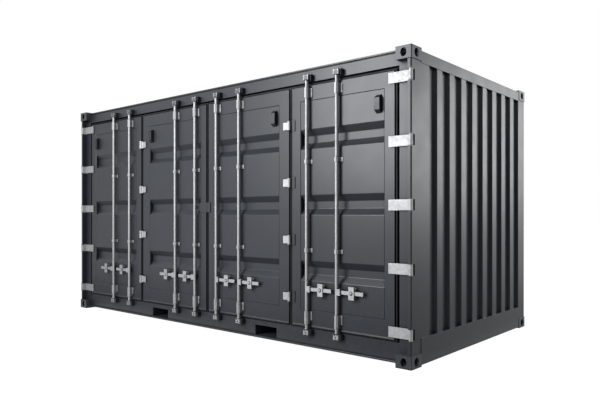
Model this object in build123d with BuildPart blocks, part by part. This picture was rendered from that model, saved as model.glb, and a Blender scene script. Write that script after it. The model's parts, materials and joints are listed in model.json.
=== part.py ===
"""Side-opening shipping container: corner castings, J-section door posts, corrugated walls and
four swing leaves with lock rods along one long side. Millimetres, +Z up, the doors face -Y,
and the origin is the middle of the underside."""

from build123d import *
import os

os.makedirs("parts", exist_ok=True)

# Overall size, over the corner castings
length = 6058
width = 2438
height = 2896

# Round forms that repeat are drawn with a few flat sides
hole_sides = 10
pin_sides = 8
barrel_sides = 10
rod_sides = 16

# Corner castings
casting_length = 178
casting_width = 162
casting_height = 118
casting_wall = 16
casting_plate = 28
slot_length = 124
slot_width = 63.5
side_hole_length = 79.5
side_hole_width = 63.5
end_hole_length = 79.5
end_hole_width = 63.5
slot_from_end = 102.5
slot_from_side = 89.5

# Frame: how far posts, rails and walls stand behind the casting faces
setback = 8
post_wall = 6
post_corner = 12
lip_width = 40
post_recess = 64
post_flange = 60
flange_depth = 50
rail_wall = 5
rail_depth = 60
base_clearance = 45
sill_bottom = 24
sill_top = 210
sill_recess = 70
threshold_height = 42
threshold_depth = 22
toe_height = 14
toe_reach = 14
header_height = 126
header_drop = 25
header_ridge = 19
ridge_depth = 40
groove_height = 17
groove_depth = 18
groove_below_top = 14
groove_end = 10
end_rail_bottom = 14
end_rail_top = 260
end_rail_proud = 4
end_head_drop = 131

# Walls, roof and floor
sheet = 3
wall_depth = 36
channel_width = 135
channel_slope = 20
end_channels = 9
end_near_flat = 138
end_far_flat = 14
rear_channels = 21
rear_flat = 40
roof_channels = 26
roof_flat = 110
roof_depth = 18
roof_slope = 22
roof_channel_share = 0.5
floor_top = 200
floor_thickness = 28
cross_member_count = 13
cross_member_flange = 45
cross_member_web = 5
fork_spacing = 2050
fork_width = 350
fork_bottom = 45
fork_top = 160
fork_plate = 6

# Door leaves
leaf_recess = 56
leaf_thickness = 50
post_gap = 52
fold_gap = 53
centre_gap = 55
head_gap = 45
sill_gap = 30
inner_extra = 39
outer_post_stile = 120
outer_fold_stile = 125
inner_fold_stile = 155
inner_centre_stile = 106
leaf_bottom_rail = 172
leaf_top_rail = 152
panel_set_in = 2
panel_groove = 7
swage_count = 3
swage_pitch = 675
swage_flat = 75
swage_slope = 65
swage_depth = 44
gasket_reach = 23
gasket_bulb = 13
gasket_set_in = 12
gasket_web_set_in = 26
gasket_back = 44

# Hinges
pin_inset = 20
pin_radius = 8
barrel_radius = 18.5
pin_clearance = 0.3
knuckle_gap = 1.5
strap_height = 98
strap_thickness = 10
strap_on_leaf = 62
lug_height = 8
post_hinge_count = 5
post_hinge_inset = 66
fold_hinge_count = 4
fold_hinge_bottom = 281
fold_hinge_top = 385
fold_pin_ahead = 20
fold_barrel_radius = 17
outer_fold_plate = 42
inner_fold_plate = 76
inner_fold_height = 78
outer_fold_thickness = 8
inner_fold_thickness = 12
fold_end_knuckle = 9
fold_middle_knuckle = 98

# Lock rods
rod_ahead = 30
rod_radius = 17
rod_spacing = 413
outer_rod_inset = 242
inner_rod_inset = 181
bore_clearance = 0.5
guide_wall = 5.5
guide_bend = 0.42
guide_plate = 6
guide_width = 108
sleeve_plate_width = 100
sleeve_plate_height = 90
sleeve_plate_rise = 16
upper_sleeve_height = 100
upper_sleeve_drop = 74
lower_sleeve_height = 128
lower_sleeve_rise = 90
ring_height = 40
ring_offset = 453
cam_reach = 33
cam_half_height = 28
cam_waist = 18
cam_half_depth = 18
cam_clear = 5
lower_cam_drop = 32
upper_cam_rise = 37
keeper_plate = 5
keeper_lug = 8
keeper_height = 62
keeper_reach = 34
handle_rise = 383
handle_reach = 338
handle_height = 36
handle_thickness = 11
hub_reach = 55
hub_half_depth = 18
hub_height = 62
tongue_height = 22
handle_start = 66
hasp_width = 68
hasp_height = 126
hasp_thickness = 8
catch_from_rod = 197
catch_width = 60
catch_height = 104
catch_plate = 6
catch_shelf = 9
catch_shelf_gap = 6
catch_shelf_depth = 32

# Small fittings
vent_width = 62
vent_height = 174
vent_depth = 38
vent_slope = 30
vent_from_panel = 29
vent_below_panel_top = 46
lap_height = 118
lap_on_leaf = 106
lap_slit = 5
lap_stub = 33
lap_thickness = 8
lap_tail = 74
lap_tail_height = 44

# Heights and places that follow from the sizes above
half_length = length / 2
half_width = width / 2
opening_edge = casting_length
leaf_edge = opening_edge + post_gap
outer_leaf_width = (half_length - leaf_edge - fold_gap - centre_gap / 2 - inner_extra) / 2
inner_leaf_width = outer_leaf_width + inner_extra
fold_edge = leaf_edge + outer_leaf_width
inner_edge = fold_edge + fold_gap
centre_edge = inner_edge + inner_leaf_width
fold_axis = fold_edge + fold_gap / 2
header_top = height - header_drop
header_bottom = header_top - header_height
header_ridge_top = header_top + header_ridge
leaf_bottom = sill_top + sill_gap
leaf_top = header_bottom - head_gap
panel_bottom = leaf_bottom + leaf_bottom_rail
panel_top = leaf_top - leaf_top_rail
rod_depth = leaf_recess - rod_ahead
fold_depth = leaf_recess - fold_pin_ahead
post_depth = casting_width
floor_bottom = floor_top - floor_thickness
handle_level = leaf_bottom + handle_rise
lower_cam_level = sill_top - lower_cam_drop
upper_cam_level = header_bottom + upper_cam_rise
right = 1
left = -1
side_names = {right: "right", left: "left"}


def spot(side, along, depth):
    """Plan point: along is measured in from that end, depth back from the door side."""
    return (side * (half_length - along), depth - half_width)


def finish(part, name):
    part.label = name
    export_step(part, f"parts/{name}.step")
    print(name, round(part.volume / 1e6, 2), "litres")


def spread(first, last, count):
    """Evenly spaced values from first to last."""
    return [first + (last - first) * i / (count - 1) for i in range(count)]


def oval(wide, tall):
    """An upright oval hole drawn with a few flat sides."""
    rise = (tall - wide) / 2
    with BuildSketch(mode=Mode.PRIVATE) as ends:
        with Locations((0, rise), (0, -rise)):
            RegularPolygon(wide / 2, hole_sides, major_radius=False)
    return make_hull(ends.sketch.edges(), mode=Mode.PRIVATE)


def channel_path(start, near_flat, channel, slope, pitch, count, end, depth):
    """Points (along, inward) of a sheet with trapezoidal channels between start and end."""
    points = [(start, 0)]
    for i in range(count):
        edge = start + near_flat + i * pitch
        points.append((edge, 0))
        points.append((edge + slope, depth))
        points.append((edge + channel - slope, depth))
        points.append((edge + channel, 0))
    points.append((end, 0))
    return points


# Corner castings: hollow blocks with oval holes and one twist-lock slot each


def castings(name, base, slot_plane, slot_side):
    hole_level = base + casting_height / 2
    cavity_height = casting_height - casting_plate - casting_wall
    cavity_shift = -(casting_plate - casting_wall) / 2 * slot_side
    with BuildPart() as block:
        for x_side in (right, left):
            for y_side in (1, -1):
                middle = (
                    x_side * (half_length - casting_length / 2),
                    y_side * (half_width - casting_width / 2),
                )
                with Locations((middle[0], middle[1], hole_level)):
                    Box(casting_length, casting_width, casting_height)
        outer_edges = block.edges().filter_by(Axis.Z).filter_by(
            lambda edge: abs(abs(edge.center().X) - half_length) < 1
            and abs(abs(edge.center().Y) - half_width) < 1
        )
        fillet(outer_edges, setback)
        for x_side in (right, left):
            for y_side in (1, -1):
                middle = (
                    x_side * (half_length - casting_length / 2),
                    y_side * (half_width - casting_width / 2),
                )
                with Locations((middle[0], middle[1], hole_level + cavity_shift)):
                    Box(
                        casting_length - 2 * casting_wall,
                        casting_width - 2 * casting_wall,
                        cavity_height,
                        mode=Mode.SUBTRACT,
                    )
                slot_at = (
                    x_side * (half_length - slot_from_end),
                    y_side * (half_width - slot_from_side),
                )
                with BuildSketch(Plane.XY.offset(slot_plane)):
                    with Locations(slot_at):
                        SlotOverall(slot_length, slot_width)
                extrude(amount=-slot_side * (casting_plate + 1), mode=Mode.SUBTRACT)
                face = Plane(
                    (middle[0], y_side * half_width, hole_level),
                    x_dir=(1, 0, 0),
                    z_dir=(0, -y_side, 0),
                )
                with BuildSketch(face):
                    add(oval(side_hole_width, side_hole_length))
                extrude(amount=casting_wall + 1, mode=Mode.SUBTRACT)
                face = Plane(
                    (x_side * half_length, middle[1], hole_level),
                    x_dir=(0, 1, 0),
                    z_dir=(-x_side, 0, 0),
                )
                with BuildSketch(face):
                    add(oval(end_hole_width, end_hole_length))
                extrude(amount=casting_wall + 1, mode=Mode.SUBTRACT)
    finish(block.part, name)


castings("bottom_corner_castings", 0, 0, -1)
castings("top_corner_castings", height - casting_height, height, 1)

# Posts: J-section door posts, notched at each hinge, and plain box posts at the rear

hinge_levels = spread(leaf_bottom + post_hinge_inset, leaf_top - post_hinge_inset, post_hinge_count)
notch_height = strap_height + 2 * (knuckle_gap + lug_height)
lip_edge = setback + lip_width


def front_post(side):
    outline = [
        (setback, setback),
        (lip_edge, setback),
        (lip_edge, post_recess),
        (casting_length, post_recess),
        (casting_length, post_depth),
        (setback, post_depth),
    ]
    flange = [
        (casting_length, post_depth - flange_depth),
        (casting_length + post_flange, post_depth - flange_depth),
        (casting_length + post_flange, post_depth),
        (casting_length, post_depth),
    ]
    notch = [(0, 0), (lip_edge, 0), (lip_edge, post_recess), (0, post_recess)]
    with BuildPart() as post:
        with BuildSketch(Plane.XY.offset(casting_height)):
            with BuildLine():
                Polyline(*[spot(side, s, t) for s, t in outline], close=True)
            make_face()
            offset(amount=-post_wall, kind=Kind.INTERSECTION, mode=Mode.SUBTRACT)
        extrude(amount=height - 2 * casting_height)
        corner_x, corner_y = spot(side, setback, setback)
        fillet(
            post.edges().filter_by(Axis.Z).filter_by(
                lambda edge: abs(edge.center().X - corner_x) < 1 and abs(edge.center().Y - corner_y) < 1
            ),
            post_corner,
        )
        with BuildSketch(Plane.XY.offset(sill_top)):
            with BuildLine():
                Polyline(*[spot(side, s, t) for s, t in flange], close=True)
            make_face()
        extrude(amount=header_bottom - sill_top)
        for level in hinge_levels:
            with BuildSketch(Plane.XY.offset(level - notch_height / 2)):
                with BuildLine():
                    Polyline(*[spot(side, s, t) for s, t in notch], close=True)
                make_face()
            extrude(amount=notch_height, mode=Mode.SUBTRACT)
    finish(post.part, f"front_{side_names[side]}_post")


for side in (right, left):
    front_post(side)

with BuildPart() as rear_posts:
    with BuildSketch(Plane.XY.offset(casting_height)):
        post_x = half_length - (setback + casting_length) / 2
        post_y = half_width - (setback + casting_width) / 2
        with Locations((post_x, post_y), (-post_x, post_y)):
            Rectangle(casting_length - setback, casting_width - setback)
        with Locations((post_x, post_y), (-post_x, post_y)):
            Rectangle(
                casting_length - setback - 2 * post_wall,
                casting_width - setback - 2 * post_wall,
                mode=Mode.SUBTRACT,
            )
    extrude(amount=height - 2 * casting_height)
finish(rear_posts.part, "rear_posts")

# Rails: header and sill over and under the doors, plain box rails on the other sides

span = length - 2 * casting_length
fork_places = (-fork_spacing / 2, fork_spacing / 2)
side_plane = Plane.YZ.offset(-span / 2)
rear_face = half_width - setback

with BuildPart() as front_header:
    face_y = sill_recess - half_width
    back_y = post_depth - half_width
    groove_level = header_ridge_top - groove_below_top - groove_height / 2
    with BuildSketch(side_plane):
        with BuildLine():
            Polyline(
                (face_y, header_bottom),
                (face_y, header_ridge_top),
                (face_y + ridge_depth, header_ridge_top),
                (face_y + ridge_depth, header_top),
                (back_y, header_top),
                (back_y, header_bottom - threshold_height),
                (back_y - threshold_depth, header_bottom - threshold_height),
                (back_y - threshold_depth, header_bottom),
                close=True,
            )
        make_face()
        offset(amount=-rail_wall, kind=Kind.INTERSECTION, mode=Mode.SUBTRACT)
    extrude(amount=span)
    with Locations((0, face_y, groove_level)):
        Box(
            span - 2 * groove_end, groove_depth, groove_height,
            align=(Align.CENTER, Align.MIN, Align.CENTER), mode=Mode.SUBTRACT,
        )
    for x_side in (right, left):
        with BuildSketch(Plane.XZ.offset(-back_y)):
            with Locations((x_side * (span - post_flange) / 2, header_bottom - threshold_height / 2)):
                Rectangle(post_flange, threshold_height)
        extrude(amount=threshold_depth, mode=Mode.SUBTRACT)
finish(front_header.part, "front_header")

with BuildPart() as front_sill:
    face_y = sill_recess - half_width
    back_y = post_depth - half_width
    with BuildSketch(side_plane):
        with BuildLine():
            Polyline(
                (face_y, sill_bottom),
                (face_y, sill_top),
                (back_y - threshold_depth, sill_top),
                (back_y - threshold_depth, sill_top + threshold_height),
                (back_y, sill_top + threshold_height),
                (back_y, sill_bottom),
                close=True,
            )
        make_face()
        offset(amount=-rail_wall, kind=Kind.INTERSECTION, mode=Mode.SUBTRACT)
    extrude(amount=span)
    for x_side in (right, left):
        with BuildSketch(Plane.XZ.offset(-back_y)):
            with Locations((x_side * (span - post_flange) / 2, sill_top + threshold_height / 2)):
                Rectangle(post_flange, threshold_height)
        extrude(amount=threshold_depth, mode=Mode.SUBTRACT)
    with Locations((0, face_y, sill_bottom)):
        Box(span, toe_reach, toe_height, align=(Align.CENTER, Align.MAX, Align.MIN))
    with Locations(*[(x, (face_y + back_y) / 2, fork_bottom - fork_plate) for x in fork_places]):
        Box(
            fork_width + 2 * fork_plate,
            back_y - face_y,
            fork_top - fork_bottom + 2 * fork_plate,
            align=(Align.CENTER, Align.CENTER, Align.MIN),
            mode=Mode.SUBTRACT,
        )
finish(front_sill.part, "front_sill")


def rear_rail(name, bottom, top, with_pockets):
    with BuildPart() as rail:
        with BuildSketch(side_plane):
            with Locations((rear_face - rail_depth / 2, (bottom + top) / 2)):
                Rectangle(rail_depth, top - bottom)
                Rectangle(rail_depth - 2 * rail_wall, top - bottom - 2 * rail_wall, mode=Mode.SUBTRACT)
        extrude(amount=span)
        if with_pockets:
            with Locations(*[(x, rear_face - rail_depth / 2, fork_bottom - fork_plate) for x in fork_places]):
                Box(
                    fork_width + 2 * fork_plate,
                    rail_depth,
                    fork_top - fork_bottom + 2 * fork_plate,
                    align=(Align.CENTER, Align.CENTER, Align.MIN),
                    mode=Mode.SUBTRACT,
                )
    finish(rail.part, name)


wall_top = height - end_head_drop
rear_rail("rear_top_rail", wall_top, header_top, False)
rear_rail("rear_bottom_rail", sill_bottom, sill_top, True)

end_span = width - 2 * casting_width


def end_rails(name, bottom, top):
    with BuildPart() as rails:
        with BuildSketch(Plane.XZ.offset(-end_span / 2)):
            rail_x = half_length - setback + (end_rail_proud - rail_depth) / 2
            rail_across = rail_depth + end_rail_proud
            with Locations((rail_x, (bottom + top) / 2), (-rail_x, (bottom + top) / 2)):
                Rectangle(rail_across, top - bottom)
            with Locations((rail_x, (bottom + top) / 2), (-rail_x, (bottom + top) / 2)):
                Rectangle(rail_across - 2 * rail_wall, top - bottom - 2 * rail_wall, mode=Mode.SUBTRACT)
        extrude(amount=end_span)
    finish(rails.part, name)


end_rails("end_top_rails", wall_top, header_top)
end_rails("end_bottom_rails", end_rail_bottom, end_rail_top)

# Corrugated walls and roof: one folded sheet each, extruded along its channels

end_pitch = (end_span - end_near_flat - end_far_flat - channel_width) / (end_channels - 1)


def end_wall(side):
    path = channel_path(
        casting_width, end_near_flat, channel_width, channel_slope, end_pitch, end_channels,
        width - casting_width, wall_depth,
    )
    outer = [spot(side, setback + inward, along) for along, inward in path]
    inner = [spot(side, setback + inward + sheet, along) for along, inward in reversed(path)]
    with BuildPart() as wall:
        with BuildSketch(Plane.XY.offset(end_rail_top)):
            with BuildLine():
                Polyline(*outer, *inner, close=True)
            make_face()
        extrude(amount=wall_top - end_rail_top)
    finish(wall.part, f"{side_names[side]}_end_wall")


for side in (right, left):
    end_wall(side)

with BuildPart() as rear_wall:
    rear_pitch = (span - 2 * rear_flat - channel_width) / (rear_channels - 1)
    path = channel_path(
        -span / 2, rear_flat, channel_width, channel_slope, rear_pitch, rear_channels,
        span / 2, wall_depth,
    )
    outer = [(along, rear_face - inward) for along, inward in path]
    inner = [(along, rear_face - inward - sheet) for along, inward in reversed(path)]
    with BuildSketch(Plane.XY.offset(sill_top)):
        with BuildLine():
            Polyline(*outer, *inner, close=True)
        make_face()
    extrude(amount=wall_top - sill_top)
finish(rear_wall.part, "rear_wall")

roof_start = setback + rail_depth - half_length
roof_front = post_depth - half_width
roof_back = rear_face - rail_depth

with BuildPart() as roof:
    roof_length = -2 * roof_start
    roof_channel = (roof_length - 2 * roof_flat) / (roof_channels - 1 + roof_channel_share)
    path = channel_path(
        roof_start, roof_flat, roof_channel * roof_channel_share, roof_slope, roof_channel,
        roof_channels, -roof_start, roof_depth,
    )
    upper = [(along, header_top - down) for along, down in path]
    lower = [(along, header_top - down - sheet) for along, down in reversed(path)]
    with BuildSketch(Plane.XZ.offset(-roof_back)):
        with BuildLine():
            Polyline(*upper, *lower, close=True)
        make_face()
    extrude(amount=roof_back - roof_front)
    corner = casting_width - setback - rail_depth
    with Locations(*[(x * (half_length - casting_length / 2), roof_back, header_top) for x in (1, -1)]):
        Box(
            casting_length, 2 * corner, 4 * roof_depth,
            mode=Mode.SUBTRACT,
        )
finish(roof.part, "roof")

# Floor, cross members and fork pockets

floor_front = post_depth - half_width
floor_back = rear_face - rail_depth

with BuildPart() as floor:
    floor_side = half_length - setback - rail_depth
    corner = casting_width - setback - rail_depth
    with BuildSketch(Plane.XY.offset(floor_bottom)):
        with Locations((0, (floor_front + floor_back) / 2)):
            Rectangle(2 * floor_side, floor_back - floor_front)
        with Locations(*[(x * (half_length - casting_length / 2), floor_back) for x in (1, -1)]):
            Rectangle(casting_length, 2 * corner, mode=Mode.SUBTRACT)
    extrude(amount=floor_thickness)
finish(floor.part, "floor")

with BuildPart() as cross_members:
    beam_height = floor_bottom - base_clearance
    reach = half_length - casting_length - cross_member_flange
    pocket_clear = fork_width / 2 + fork_plate + cross_member_flange
    beam_places = [
        x
        for x in spread(-reach, reach, cross_member_count)
        if all(abs(x - fork) > pocket_clear for fork in fork_places)
    ]
    with BuildSketch(Plane.XZ.offset(-floor_back)):
        for x in beam_places:
            with Locations((x, base_clearance + beam_height / 2)):
                Rectangle(cross_member_flange, beam_height)
            with Locations((x + cross_member_web, base_clearance + beam_height / 2)):
                Rectangle(
                    cross_member_flange, beam_height - 2 * cross_member_web, mode=Mode.SUBTRACT
                )
    extrude(amount=floor_back - floor_front)
finish(cross_members.part, "cross_members")

with BuildPart() as fork_pockets:
    tunnel_front = sill_recess - half_width
    with BuildSketch(Plane.XZ.offset(-rear_face)):
        for x in fork_places:
            with Locations((x, (fork_bottom + fork_top) / 2)):
                Rectangle(fork_width + 2 * fork_plate, fork_top - fork_bottom + 2 * fork_plate)
                Rectangle(fork_width, fork_top - fork_bottom, mode=Mode.SUBTRACT)
    extrude(amount=rear_face - tunnel_front)
finish(fork_pockets.part, "fork_pockets")

# Door leaves: a box frame, a swaged panel let into it and a rubber seal round the edge


def leaf_frame(name, side, start, end, start_stile, end_stile):
    middle = (start + end) / 2
    window = (start + start_stile + end - end_stile) / 2
    plane = Plane.XZ.offset(half_width - leaf_recess)
    with BuildPart() as frame:
        with BuildSketch(plane):
            with Locations((spot(side, middle, 0)[0], (leaf_bottom + leaf_top) / 2)):
                Rectangle(end - start, leaf_top - leaf_bottom)
            with Locations((spot(side, window, 0)[0], (panel_bottom + panel_top) / 2)):
                Rectangle(
                    end - start - start_stile - end_stile,
                    panel_top - panel_bottom,
                    mode=Mode.SUBTRACT,
                )
        extrude(amount=-leaf_thickness)
        front = frame.faces().sort_by(Axis.Y)[0]
        chamfer(front.inner_wires()[0].edges(), panel_groove)
    finish(frame.part, f"{name}_frame")


def leaf_panel(name, side, start, end):
    face = leaf_recess + panel_set_in - half_width
    middle = (panel_bottom + panel_top) / 2
    swage_height = swage_flat + 2 * swage_slope
    path = channel_path(
        panel_bottom,
        middle - (swage_count - 1) * swage_pitch / 2 - swage_height / 2 - panel_bottom,
        swage_height, swage_slope, swage_pitch, swage_count, panel_top, swage_depth,
    )
    outer = [(face + inward, level) for level, inward in path]
    inner = [(face + inward + sheet, level) for level, inward in reversed(path)]
    first = min(spot(side, start, 0)[0], spot(side, end, 0)[0])
    with BuildPart() as panel:
        with BuildSketch(Plane.YZ.offset(first)):
            with BuildLine():
                Polyline(*outer, *inner, close=True)
            make_face()
        extrude(amount=end - start)
    finish(panel.part, f"{name}_panel")


def leaf_gasket(name, side, start, end):
    """A web round the leaf's edge that carries a rounded bulb nearer the front."""
    middle = (spot(side, (start + end) / 2, 0)[0], (leaf_bottom + leaf_top) / 2)
    wide = end - start
    tall = leaf_top - leaf_bottom
    bulb_inside = gasket_reach - gasket_bulb
    with BuildPart() as gasket:
        for set_in, inside in ((gasket_web_set_in, 0), (gasket_set_in, bulb_inside)):
            with BuildSketch(Plane.XZ.offset(half_width - leaf_recess - set_in)):
                with Locations(middle):
                    Rectangle(wide + 2 * gasket_reach, tall + 2 * gasket_reach)
                    Rectangle(wide + 2 * inside, tall + 2 * inside, mode=Mode.SUBTRACT)
            extrude(amount=set_in - gasket_back)
    finish(gasket.part, f"{name}_gasket")


# Hinges: straps on the post pins, and butt hinges at the fold


def knuckle(side, axis, depth, radius, arm, levels, tall):
    """A barrel with its arm, at each level; arm is a list of plan points that meets the barrel."""
    for level in levels:
        with BuildSketch(Plane.XY.offset(level - tall / 2)) as section:
            with Locations(spot(side, axis, depth)):
                RegularPolygon(radius, barrel_sides)
            with BuildLine():
                Polyline(*[spot(side, s, t) for s, t in arm], close=True)
            make_face()
        extrude(section.sketch, amount=tall)


def bores(side, axis, depth, levels, tall):
    for level in levels:
        with BuildSketch(Plane.XY.offset(level - tall / 2)) as hole:
            with Locations(spot(side, axis, depth)):
                RegularPolygon(pin_radius + pin_clearance, pin_sides, major_radius=False)
        extrude(hole.sketch, amount=tall, mode=Mode.SUBTRACT)


def pins(side, axis, depth, levels, tall):
    for level in levels:
        with BuildSketch(Plane.XY.offset(level - tall / 2)) as pin:
            with Locations(spot(side, axis, depth)):
                RegularPolygon(pin_radius, pin_sides)
        extrude(pin.sketch, amount=tall)


strap_back = leaf_recess
strap_front = leaf_recess - strap_thickness
fold_levels = spread(leaf_bottom + fold_hinge_bottom, leaf_top - fold_hinge_top, fold_hinge_count)
fold_tall = 2 * fold_end_knuckle + fold_middle_knuckle
half_gap = fold_gap / 2


def fold_arm(direction, thickness):
    """Plan points from the fold barrel to the plate on one leaf."""
    plate_front = leaf_recess - thickness
    return [
        (fold_axis, fold_depth + fold_barrel_radius),
        (fold_axis + direction * half_gap, leaf_recess),
        (fold_axis + direction * half_gap, plate_front),
        (fold_axis + direction * fold_barrel_radius, fold_depth),
        (fold_axis, fold_depth),
    ]


def fold_plates(side, direction, plate, thickness, tall):
    plate_front = leaf_recess - thickness
    start = fold_axis + direction * half_gap
    end = start + direction * plate
    corners = [(start, plate_front), (end, plate_front), (end, leaf_recess), (start, leaf_recess)]
    for level in fold_levels:
        with BuildSketch(Plane.XY.offset(level - tall / 2)) as section:
            with BuildLine():
                Polyline(*[spot(side, s, t) for s, t in corners], close=True)
            make_face()
        extrude(section.sketch, amount=tall)


def post_straps(name, side):
    strap = [
        (pin_inset, pin_inset + barrel_radius),
        (lip_edge, strap_back),
        (leaf_edge + strap_on_leaf, strap_back),
        (leaf_edge + strap_on_leaf, strap_front),
        (lip_edge, strap_front),
        (pin_inset + barrel_radius, pin_inset),
        (pin_inset, pin_inset),
    ]
    with BuildPart() as straps:
        knuckle(side, pin_inset, pin_inset, barrel_radius, strap, hinge_levels, strap_height)
        bores(side, pin_inset, pin_inset, hinge_levels, strap_height)
    finish(straps.part, f"{name}_post_straps")


def outer_fold_hinges(name, side):
    end_shift = (fold_tall - fold_end_knuckle) / 2
    ends = [level + shift for level in fold_levels for shift in (-end_shift, end_shift)]
    with BuildPart() as hinges:
        fold_plates(side, -1, outer_fold_plate, outer_fold_thickness, fold_tall)
        arm = fold_arm(-1, outer_fold_thickness)
        knuckle(side, fold_axis, fold_depth, fold_barrel_radius, arm, ends, fold_end_knuckle)
        pins(side, fold_axis, fold_depth, fold_levels, fold_tall)
    finish(hinges.part, f"{name}_fold_hinges")


def inner_fold_hinges(name, side):
    tall = fold_middle_knuckle - 2 * knuckle_gap
    with BuildPart() as hinges:
        fold_plates(side, 1, inner_fold_plate, inner_fold_thickness, inner_fold_height)
        arm = fold_arm(1, inner_fold_thickness)
        knuckle(side, fold_axis, fold_depth, fold_barrel_radius, arm, fold_levels, tall)
        bores(side, fold_axis, fold_depth, fold_levels, tall)
    finish(hinges.part, f"{name}_fold_hinges")


with BuildPart() as post_hinge_pins:
    lug_shift = (strap_height + lug_height) / 2 + knuckle_gap
    lug = [
        (setback, setback),
        (lip_edge, setback),
        (lip_edge, post_recess),
        (setback, post_recess),
    ]
    for side in (right, left):
        for level in hinge_levels:
            for shift in (-lug_shift, lug_shift):
                with BuildSketch(Plane.XY.offset(level + shift - lug_height / 2)):
                    with BuildLine():
                        Polyline(*[spot(side, s, t) for s, t in lug], close=True)
                    make_face()
                extrude(amount=lug_height)
        pins(side, pin_inset, pin_inset, hinge_levels, notch_height)
finish(post_hinge_pins.part, "post_hinge_pins")

# Lock gear: guides and catches on the leaf, rods with cams and a handle, keepers on the rails


def bent_strap(rod, half, seat):
    """Plan points of a strap bent round a rod with flat sides; half is its half width."""
    flat = half * guide_bend
    return [
        (rod - half, seat),
        (rod - half, rod_depth - flat),
        (rod - flat, rod_depth - half),
        (rod + flat, rod_depth - half),
        (rod + half, rod_depth - flat),
        (rod + half, seat),
    ]


def guide(side, rod, level, tall, seat):
    """A bent strap on the leaf with a slot for the rod, open to the leaf behind."""
    bore = rod_radius + bore_clearance
    with BuildSketch(Plane.XY.offset(level - tall / 2)) as strap:
        with BuildLine():
            Polyline(*[spot(side, s, t) for s, t in bent_strap(rod, bore + guide_wall, seat)], close=True)
        make_face()
        with BuildLine():
            Polyline(*[spot(side, s, t) for s, t in bent_strap(rod, bore, seat)], close=True)
        make_face(mode=Mode.SUBTRACT)
    extrude(strap.sketch, amount=tall)


def rod_guides(name, side, rods):
    lower = leaf_bottom + lower_sleeve_rise
    upper = leaf_top - upper_sleeve_drop
    middle = (leaf_bottom + leaf_top) / 2
    panel_face = leaf_recess + panel_set_in
    shelf_top = handle_level - handle_height / 2 - catch_shelf_gap
    with BuildPart() as gear:
        for rod in rods:
            for level, tall, rise in (
                (lower, lower_sleeve_height, sleeve_plate_rise),
                (upper, upper_sleeve_height, 0),
            ):
                guide(side, rod, level, tall, leaf_recess)
                with Locations((*spot(side, rod, leaf_recess - guide_plate / 2), level + rise)):
                    Box(sleeve_plate_width, guide_plate, sleeve_plate_height)
            for level in (middle - ring_offset, middle + ring_offset):
                guide(side, rod, level, ring_height, panel_face)
                with Locations((*spot(side, rod, panel_face - guide_plate / 2), level)):
                    Box(guide_width, guide_plate, ring_height)
            catch = rod - catch_from_rod
            with Locations((*spot(side, catch, panel_face - catch_plate / 2), handle_level)):
                Box(catch_width, catch_plate, catch_height)
            with Locations((*spot(side, catch, panel_face - catch_shelf_depth / 2), shelf_top)):
                Box(
                    catch_width, catch_shelf_depth, catch_shelf,
                    align=(Align.CENTER, Align.CENTER, Align.MAX),
                )
    finish(gear.part, f"{name}_rod_guides")


def lock_rod(name, side, rod):
    axis = spot(side, rod, rod_depth)
    cam = [
        (-cam_reach, -cam_half_height),
        (-cam_reach, cam_half_height),
        (-cam_waist, cam_waist),
        (cam_waist, cam_waist),
        (cam_reach, cam_half_height),
        (cam_reach, -cam_half_height),
        (cam_waist, -cam_waist),
        (-cam_waist, -cam_waist),
    ]
    bar_front = rod_depth - handle_thickness / 2
    with BuildPart() as bar:
        with BuildSketch(Plane.XY.offset(lower_cam_level)):
            with Locations(axis):
                RegularPolygon(rod_radius, rod_sides)
        extrude(amount=upper_cam_level - lower_cam_level)
        for level in (lower_cam_level, upper_cam_level):
            with BuildSketch(Plane((axis[0], axis[1], level), x_dir=(1, 0, 0), z_dir=(0, -1, 0))):
                with BuildLine():
                    Polyline(*cam, close=True)
                make_face()
            extrude(amount=cam_half_depth, both=True)
        with Locations((*spot(side, rod - hub_reach / 2, rod_depth), handle_level)):
            Box(hub_reach, 2 * hub_half_depth, hub_height)
        with Locations((*spot(side, rod - handle_start, rod_depth), handle_level)):
            Box(2 * (handle_start - hub_reach), handle_thickness, tongue_height)
        with Locations((*spot(side, rod - (handle_start + handle_reach) / 2, rod_depth), handle_level)):
            Box(handle_reach - handle_start, handle_thickness, handle_height)
        with Locations((*spot(side, rod - catch_from_rod, bar_front - hasp_thickness / 2), handle_level)):
            Box(hasp_width, hasp_thickness, hasp_height)
    finish(bar.part, name)


def vent(name, side, panel_start):
    """A hood with sloping head and foot."""
    middle = spot(side, panel_start + vent_from_panel + vent_width / 2, 0)[0]
    top = panel_top - vent_below_panel_top
    bottom = top - vent_height
    face = leaf_recess + panel_set_in - half_width
    with BuildPart() as hood:
        with BuildSketch(Plane.YZ.offset(middle - vent_width / 2)):
            with BuildLine():
                Polyline(
                    (face, top),
                    (face, bottom),
                    (face - vent_depth, bottom + vent_slope),
                    (face - vent_depth, top - vent_slope),
                    close=True,
                )
            make_face()
        extrude(amount=vent_width)
    finish(hood.part, f"{name}_vent")


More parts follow.
